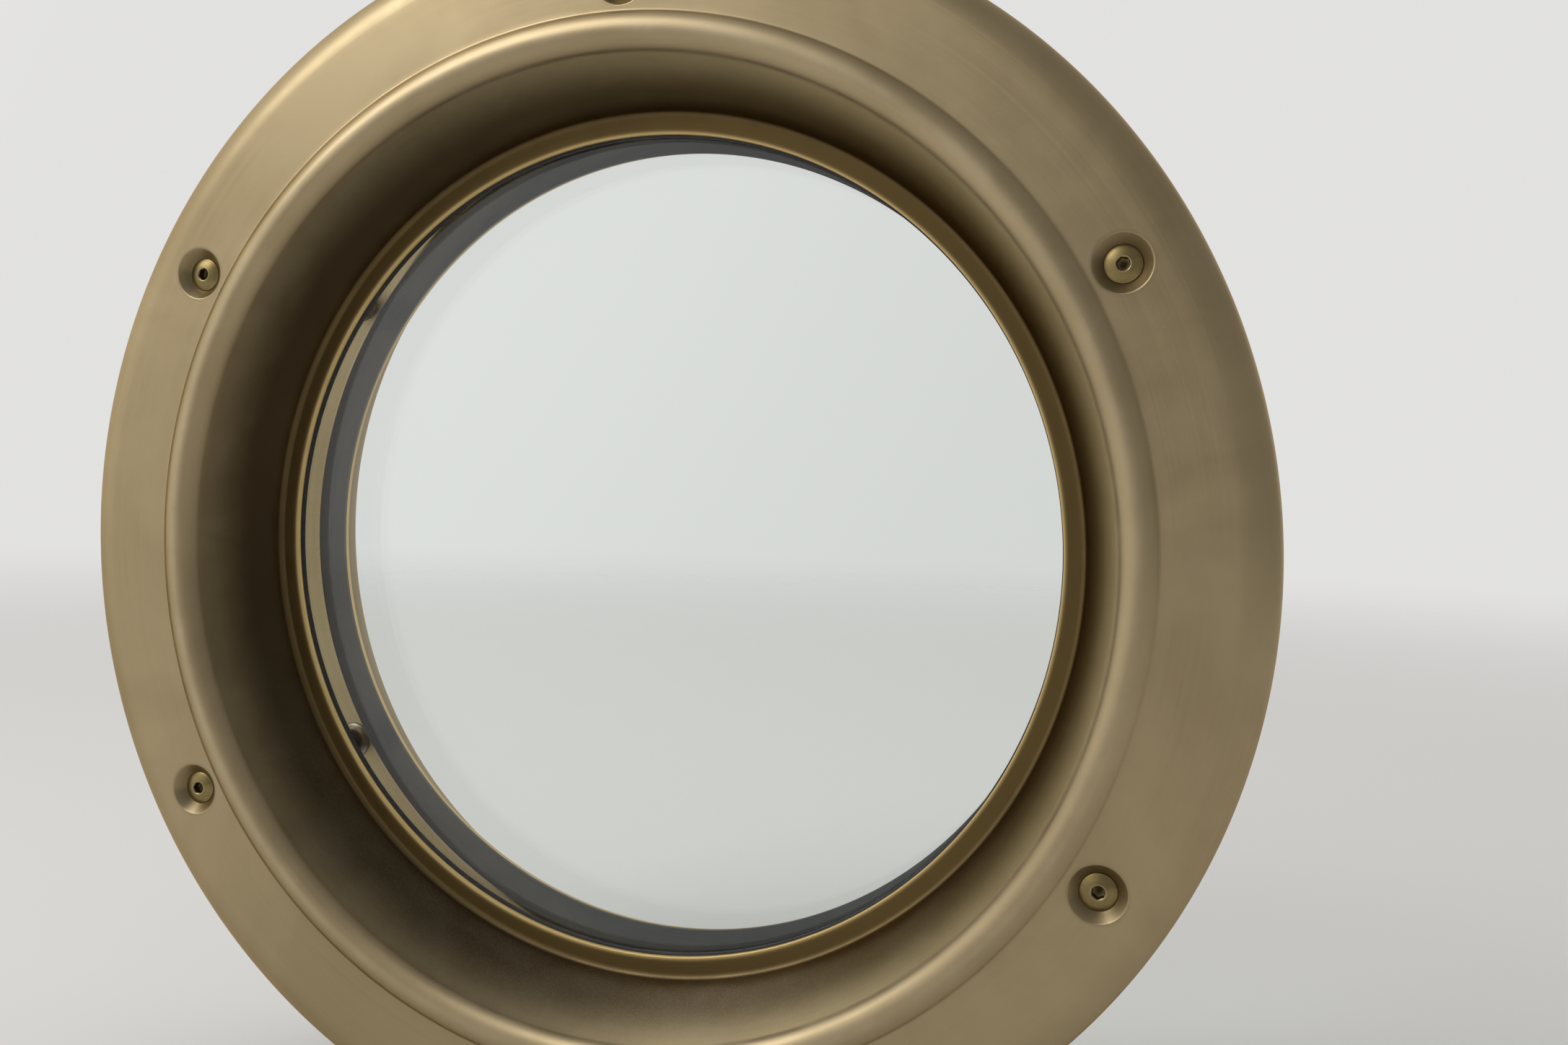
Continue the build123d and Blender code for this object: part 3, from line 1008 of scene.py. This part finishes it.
pane = {
    "arris": 0.5,
    "columns": 256,
    "rows": (0, 25, 50, 75, 95, 110, 120, 130, 138, 144),
    "lastRow": 144.5,
    "smears": 60.0,
    "groundWidth": 0.55,
    "tint": (0.965, 0.985, 0.975, 1.0),
    "edgeTint": (0.55, 0.72, 0.66, 1.0),
    "shadowTint": (0.93, 0.96, 0.945, 1.0),
    "ior": 1.52,
}
spacer = {
    "wall": 0.5,
    "chamfer": 2.2,
    "bend": 0.75,
    "gap": 0.3,
    "columns": 360,
    "hiddenColumns": 180,
    "holePitch": 4.0,
    "holeRow": 2.0,
    "holeRadius": 0.42,
    "linePitch": 0.3,
    "silver": (0.60, 0.60, 0.59, 1.0),
    "hole": (0.02, 0.02, 0.02, 1.0),
}
spacerKey = {
    "length": 46.0,
    "play": 0.15,
    "columns": 24,
    "patches": 12.0,
    "zinc": (0.55, 0.53, 0.46, 1.0),
    "dark": (0.38, 0.37, 0.34, 1.0),
}
desiccant = {
    "play": 0.3,
    "fromKey": 0.002,
    "columns": 360,
    "bead": 1.0,
    "pale": (0.72, 0.67, 0.58, 1.0),
    "shaded": (0.30, 0.27, 0.22, 1.0),
}


# Disc between two flat faces with a ground chamfer all round: rows of (radius, height)
def paneGrid(side):
    near, far, rim = paneReach["near"], paneReach["far"], paneReach["out"]
    arris, last = pane["arris"], pane["lastRow"]
    corners = [(last, near), (rim - arris, near), (rim, near + arris), (rim, far - arris), (rim - arris, far),
               (last, far)]
    edge = roundedPath(corners, [0.1, 0.1, 0.1, 0.1], steps=3, guard=0.1)
    faces = np.array(pane["rows"], float)
    face = np.stack([faces, 0 * faces], 1)
    loop = np.concatenate([face + (0, near), edge, face[::-1] + (0, far)])
    return {"points": aroundAxis(loop[:, :1], loop[:, 1:], roundAngles(pane["columns"])[None], side)}


# Clear glass. Lamps shine through it: for shadow rays the shader gives way to a plain transparent one.
def clearGlass():
    plain = {"Transmission Weight": 1.0, "IOR": pane["ior"], "Metallic": 0.0}
    material, shader, place = startMaterial("clearGlass", plain)
    ground = bandOn(place, paneReach["out"], pane["groundWidth"])
    film = spanned(cloudOn(place, pane["smears"]), 0.45, 1.0, 0.0, 0.015)
    link(mixColours(ground, pane["tint"], pane["edgeTint"]), shader.inputs["Base Color"])
    link(total(film, product(ground, 0.5)), shader.inputs["Roughness"])
    tree = shader.id_data
    clear = tree.nodes.new("ShaderNodeBsdfTransparent")
    clear.inputs[0].default_value = pane["shadowTint"]
    inShadow = tree.nodes.new("ShaderNodeLightPath").outputs["Is Shadow Ray"]
    choice = add("MixShader", {0: inShadow, 1: shader.outputs[0], 2: clear.outputs[0]})
    link(choice.outputs[0], tree.nodes["Material Output"].inputs["Surface"])
    return material


# Outline of the spacer: a box whose two outer corners are cut off at 45 degrees
def spacerCorners():
    inside, outside, half = spacerReach["in"], spacerReach["out"], spacerReach["far"]
    cut = spacer["chamfer"]
    return [(inside, -half), (outside - cut, -half), (outside, cut - half), (outside, half - cut),
            (outside - cut, half), (inside, half)]


# A bent tube, cut once at the top: the outside from one end to the other and the inside back again
def spacerGrid():
    bends = np.full(6, spacer["bend"])
    hollow, hollowBends = shrunk(spacerCorners(), spacer["wall"]), bends - spacer["wall"] + 0.05
    outside = roundedPath(spacerCorners(), bends, closed=True, steps=4, guard=0.15)
    inside = roundedPath(hollow, hollowBends, closed=True, steps=4, guard=0.15)
    half = spacer["gap"] / 2 / spacerReach["out"]
    first, last = turn / 4 + half, turn * 5 / 4 - half
    there = np.linspace(first, last, spacer["columns"])
    back = np.linspace(last, first, spacer["hiddenColumns"])
    radius = np.concatenate([outside[:, :1] + 0 * there, inside[:, :1] + 0 * back], 1)
    height = np.concatenate([outside[:, 1:] + 0 * there, inside[:, 1:] + 0 * back], 1)
    return ringPiece(radius, height, np.concatenate([there, back]), -1)


# A solid bar of the spacer's section inside it, with rounded ends that close on the middle of the section:
# point = middle + (outline - middle) * share
def barGrid(play, first, last, columns):
    corners, endRound = shrunk(spacerCorners(), spacer["wall"] + play), 0.3
    outline = roundedPath(corners, np.full(6, endRound), closed=True, steps=3, guard=0.1)
    middle = outline.mean(0)
    step = endRound / middle[0]
    angle = np.concatenate([[first, first, first, first + step],
                            np.linspace(first + 3 * step, last - 3 * step, columns),
                            [last - step, last, last, last]])
    ends = np.array([0, 0.6, 0.93, 1])
    share = np.concatenate([ends, np.ones(columns), ends[::-1]])
    radius = middle[0] + (outline[:, :1] - middle[0]) * share
    height = middle[1] + (outline[:, 1:] - middle[1]) * share
    return {**ringPiece(radius, height, angle, -1), "closedColumns": False}


def spacerAluminium():
    material, shader, place = startMaterial("spacerAluminium", {"Metallic": 1.0})
    lines = linesOn(place, spacer["linePitch"], 3.0)
    split = separated(place)
    # two rows of small holes, painted near-black as the shade inside them: the distance from the nearest hole
    # along its row, and across it
    sector = maths("ARCTAN2", split[2], split[0])
    pitches = total(product(sector, spacerReach["in"] / spacer["holePitch"]), 1000.0)
    along = product(maths("SUBTRACT", maths("FRACT", pitches), 0.5), spacer["holePitch"])
    fromRow = maths("SUBTRACT", maths("ABSOLUTE", split[1]), spacer["holeRow"] * mm)
    across = maths("DIVIDE", fromRow, mm)
    nearHole = maths("LESS_THAN", rootOfSquares(along, across), spacer["holeRadius"])
    innerFace = maths("LESS_THAN", axisRadius(split), spacerReach["in"] + 0.2)
    paintedHoles = product(nearHole, innerFace)
    base = mixColours(paintedHoles, spacer["silver"], spacer["hole"])
    rough = total(varied(lines, 0.3, 0.42), product(paintedHoles, 0.5))
    setSurface(shader, base, rough, lines, 0.3, 0.015)
    return material


def keySteel():
    material, shader, place = startMaterial("keySteel", {"Metallic": 1.0})
    spangle = add("TexVoronoi", {"Vector": place, "Scale": 500.0}).outputs["Color"]
    shade = spanned(spangle, 0.0, 1.0)
    dark = product(shade, cloudOn(place, spacerKey["patches"]))
    base = mixColours(dark, spacerKey["zinc"], spacerKey["dark"])
    setSurface(shader, base, spanned(shade, 0.0, 1.0, 0.32, 0.48), shade, 0.2, 0.02)
    return material


def desiccantBeads():
    material, shader, place = startMaterial("desiccantBeads", {"Specular IOR Level": 0.4})
    height, shade = grainOn(place, desiccant["bead"], 1.0)
    base = mixColours(spanned(height, 0.2, 0.75), desiccant["pale"], desiccant["shaded"])
    setSurface(shader, base, varied(shade, 0.75, 0.9), product(height, -1.0), 1.0, 0.5)
    return material


glass = clearGlass()
makePiece("innerPane", [paneGrid(-1)], glass, "inner_pane")
makePiece("outerPane", [paneGrid(1)], glass, "outer_pane")
makePiece("spacerFrame", [spacerGrid()], spacerAluminium(), "spacer_frame")
keyHalf = spacerKey["length"] / 2 / ((spacerReach["in"] + spacerReach["out"]) / 2)
keyGrid = barGrid(spacerKey["play"], turn / 4 - keyHalf, turn / 4 + keyHalf, spacerKey["columns"])
makePiece("spacerKey", [keyGrid], keySteel(), "spacer_key")
fillHalf = keyHalf + desiccant["fromKey"]
fillGrid = barGrid(desiccant["play"], turn / 4 + fillHalf, turn * 5 / 4 - fillHalf, desiccant["columns"])
makePiece("desiccant", [fillGrid], desiccantBeads(), "desiccant")
print("panes, spacer, key and desiccant made")


# Butyl beads on both sides of the spacer, and the sealant behind it

butylBead = {
    "columns": 480,
    "waver": 0.3,
    "outerShare": 0.3,
    "black": (0.012, 0.012, 0.012, 1.0),
    "roughness": 0.42,
    "grain": 1.6,
}
sealant = {
    "columns": 480,
    "hollow": 0.6,
    "waver": 0.15,
    "faceRows": 15,
    "black": (0.035, 0.035, 0.037, 1.0),
    "roughness": 0.5,
    "grain": 2.4,
}


# A pressed strip whose two edges wander: inner edge = in + waver * bite, and less of it at the outer one
def butylGrid(side):
    angle, waver = roundAngles(butylBead["columns"]), butylBead["waver"]
    inner = butylReach["in"] + waver * bite(angle, 31 + side, 60, 0.5)
    outer = butylReach["out"] - butylBead["outerShare"] * waver * bite(angle, 41 + side, 60, 0.5)
    near, far = butylReach["near"] + offGlass, butylReach["far"] - offGlass
    share = np.array([0, 0.04, 0.5, 0.96, 1, 1, 0.96, 0.5, 0.04, 0])[:, None]
    lift = np.array([0.2, 0, 0, 0, 0.2, 0.8, 1, 1, 1, 0.8])[:, None]
    return ringPiece(inner + (outer - inner) * share, near + (far - near) * lift, angle, side)


# The sealant fills the channel between the panes. Its outer face is hollow, with the tool's small waves:
# radius = edge - hollow * (1 - (height / half) squared) - waver * bite * (1 - (height / half) to the fourth)
def sealantGrid():
    half, far = sealantReach["far"] - offGlass, spacerReach["far"]
    edge, back = paneReach["out"] - pane["arris"], spacerReach["out"]
    cut = back - spacer["chamfer"]
    angle = roundAngles(sealant["columns"])
    high = np.linspace(-half, half, sealant["faceRows"])[:, None]
    hollow = sealant["hollow"] * (1 - (high / half) ** 2)
    waves = sealant["waver"] * bite(angle, 51, 90, 0.35) * (1 - (high / half) ** 4)
    inner = np.array([(edge - 2, half), (cut + 3, half), (cut, half), (cut, far),
                      (back, far - spacer["chamfer"]), (back, 2)])
    inner = np.concatenate([inner, inner[::-1] * (1, -1)])
    radius = np.concatenate([edge - hollow - waves, inner[:, :1] + 0 * angle])
    return ringPiece(radius, np.concatenate([high, inner[:, 1:]]), angle, -1)


def softBead(name, made):
    material, shader, place = startMaterial(name, {"Specular IOR Level": 0.5})
    height, shade = grainOn(place, made["grain"], 0.3)
    paler = tuple(2 * value + 0.01 for value in made["black"][:3]) + (1.0,)
    base = mixColours(product(cloudOn(place, 30.0), shade), made["black"], paler)
    rough = varied(shade, made["roughness"] - 0.08, made["roughness"] + 0.08)
    setSurface(shader, base, rough, height, 0.25, 0.1)
    return material


butyl = softBead("butyl", butylBead)
makePiece("innerButyl", [butylGrid(-1)], butyl, "inner_butyl")
makePiece("outerButyl", [butylGrid(1)], butyl, "outer_butyl")
makePiece("edgeSealant", [sealantGrid()], softBead("edgeSealant", sealant), "edge_sealant")
print("butyl and sealant made")


# Floor, background and light

studio = {
    "floorRings": (0.0, 0.3, 0.8, 1.4, 2.1, 3.0),
    "floorColumns": 96,
    "floorFade": (0.7, 2.6),
    "floor": (0.86, 0.85, 0.83, 1.0),
    "toward": (-0.85, -0.35, 0.40),
    "sky": (1.0, 0.995, 0.985, 1.0),
    "skyPlain": 0.36,
    "skyBright": 0.72,
    "skyBrightSpan": (0.40, 0.95),
    "skyBehind": 0.40,
    "skyBehindSpan": (0.0, 0.7),
    "lampPlace": (-0.78, -0.82, 0.92),
    "lampSize": 0.8,
    "lampPower": 5.6,
}


# A round floor under the object, with rings of points: it fades into the background further out
def makeFloor():
    radius = np.array(studio["floorRings"])[:, None]
    angle = roundAngles(studio["floorColumns"])[None]
    low = cadBox[0][2]
    points = np.stack([radius * np.cos(angle), radius * np.sin(angle), low + 0 * radius * angle], -1)
    cells = cellsOf(*points.shape[:2], False, True).reshape(-1, 4)[:, ::-1]
    mesh = bpy.data.meshes.new("floor")
    mesh.from_pydata(points.reshape(-1, 3).tolist(), [], cells.tolist())
    floor = bpy.data.objects.new("floor", mesh)
    bpy.context.scene.collection.objects.link(floor)
    plain = {"Base Color": studio["floor"], "Roughness": 0.85, "Specular IOR Level": 0.2}
    material, shader, place = startMaterial("floor", plain)
    split = separated(place)
    far = rootOfSquares(split[0], split[1])
    fade = spanned(far, *studio["floorFade"], 1.0, 0.0, "SMOOTHSTEP")
    link(fade, shader.inputs["Alpha"])
    mesh.materials.append(material)


# Soft background light. Its strength is plain + bright * smooth(direction along toward) + behind *
# smooth(y of the direction), so it is pale behind the window and brightest at the front left.
def makeWorld():
    world = bpy.data.worlds.new("studio")
    bpy.context.scene.world = world
    world.use_nodes = True
    tree = world.node_tree
    direction = tree.nodes.new("ShaderNodeTexCoord").outputs["Generated"]
    aim = tuple(Vector(studio["toward"]).normalized())
    along = add("VectorMath", {0: direction, 1: aim}, operation="DOT_PRODUCT").outputs["Value"]
    behind = separated(direction)[1]
    strength = studio["skyPlain"]
    for part, value in (("skyBright", along), ("skyBehind", behind)):
        risen = spanned(value, *studio[part + "Span"], 0.0, studio[part], "SMOOTHSTEP")
        strength = total(risen, strength)
    link(strength, tree.nodes["Background"].inputs["Strength"])
    tree.nodes["Background"].inputs["Color"].default_value = studio["sky"]


def makeLamp():
    data = bpy.data.lights.new("softLamp", "AREA")
    data.shape = "SQUARE"
    data.size = studio["lampSize"]
    data.energy = studio["lampPower"]
    lamp = bpy.data.objects.new("softLamp", data)
    bpy.context.scene.collection.objects.link(lamp)
    place = Vector(studio["lampPlace"])
    lamp.matrix_world = Matrix.Translation(place) @ (-place).to_track_quat("-Z", "Y").to_matrix().to_4x4()


makeFloor()
makeWorld()
makeLamp()
bpy.context.scene.view_settings.view_transform = "Standard"
print("stage made")
